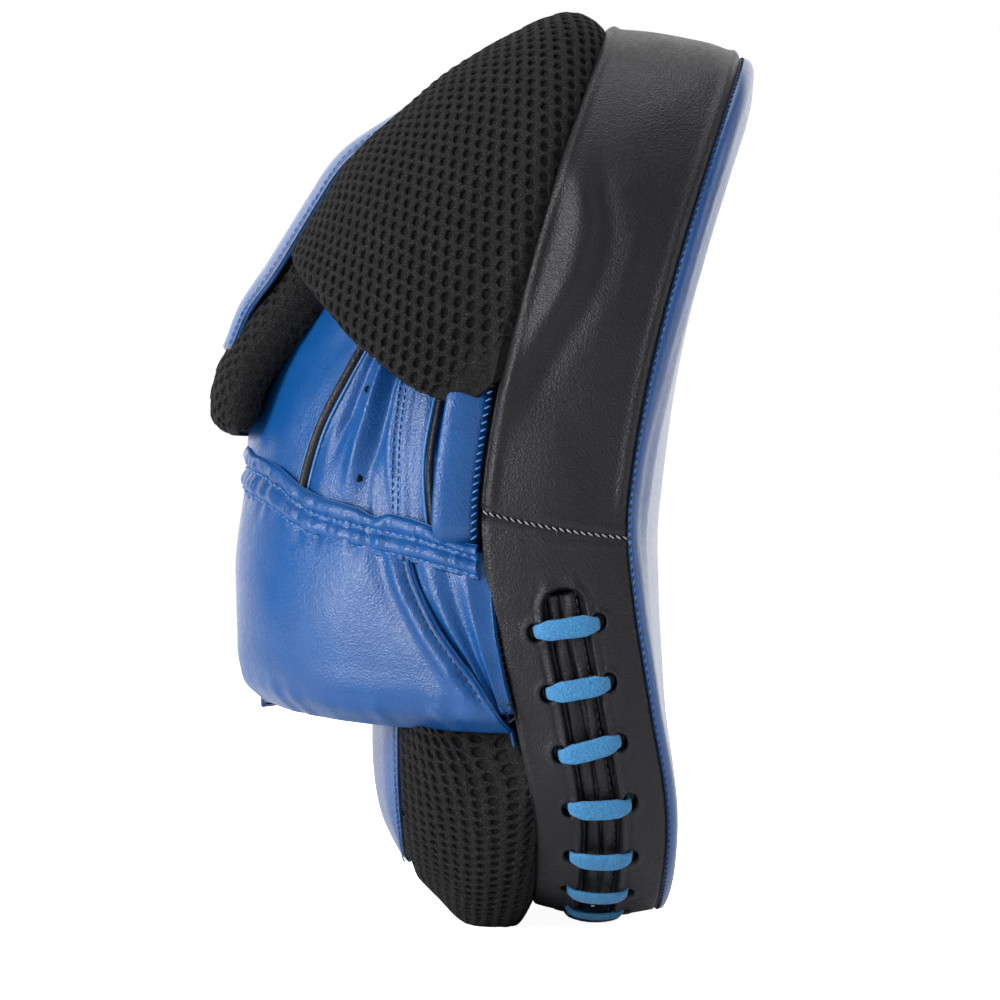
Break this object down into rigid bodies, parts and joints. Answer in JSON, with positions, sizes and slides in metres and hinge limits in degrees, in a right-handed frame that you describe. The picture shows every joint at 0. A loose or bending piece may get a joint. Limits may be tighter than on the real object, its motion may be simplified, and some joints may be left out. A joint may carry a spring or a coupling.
{
  "type": "curved focus mitt",
  "caption": "Curved leather focus mitt for boxing drills: padded striking face, laced side band, mesh finger hood, glove pocket, padded cuff with a hook-and-loop flap, mesh heel cushion.",
  "frame": {"origin": "bottom centre of the bounding box, level with the heel sole and the lowest lace crossing that the mitt stands on", "axes": "+X out of the striking face, +Z from the heel of the hand towards the fingertips, -Y the side that carries no closure"},
  "size_m": [0.1664, 0.1992, 0.2766],
  "materials": {
    "blue_leather": "soft satin, fine grain",
    "dark_blue_binding": "soft satin, gathered at the seams",
    "black_leather": "semi-gloss, fine grain",
    "air_mesh": "matt three-layer spacer mesh with a hexagonal lattice",
    "blue_lace": "matt flat woven tape",
    "lining": "matt brushed lining",
    "foam": "matt closed-cell foam, hidden inside the covers",
    "hook_and_loop": "matt hook-and-loop tape"
  },
  "bodies": {
    "mitt": {"back_cover": "blue_leather", "cuff_foam": "foam", "cuff_gusset_far": "blue_leather", "cuff_gusset_near": "blue_leather", "cuff_hem": "dark_blue_binding", "cuff_lining": "lining", "cuff_outer": "blue_leather", "foam_back": "foam", "foam_impact": "foam", "foam_mid": "foam", "glove_back_panel": "blue_leather", "glove_piping_back_far": "black_leather", "glove_piping_back_near": "black_leather", "glove_side_far": "blue_leather", "glove_side_near": "blue_leather", "heel_centre_panel": "blue_leather", "heel_foam": "foam", "heel_mesh": "air_mesh", "hood_centre_panel": "blue_leather", "hood_lining": "lining", "hood_mesh_far": "air_mesh", "hood_mesh_near": "air_mesh", "hood_rim_binding_far": "air_mesh", "hood_rim_binding_near": "air_mesh", "hood_tongue_pad": "air_mesh", "lace": "blue_lace", "lace_tongue": "black_leather", "loop_patch": "hook_and_loop", "side_band_lower": "black_leather", "side_band_upper": "black_leather", "strike_cover": "blue_leather"},
    "flap": {"closure_flap": "dark_blue_binding", "hook_patch": "hook_and_loop"}
  },
  "joints": [
    {"name": "flap_hinge", "type": "hinge", "parent": "mitt", "child": "flap", "pos_m": [-0.071, 0.045, 0.09], "axis": [0, 0, 1], "range_deg": [0, 110]}
  ]
}
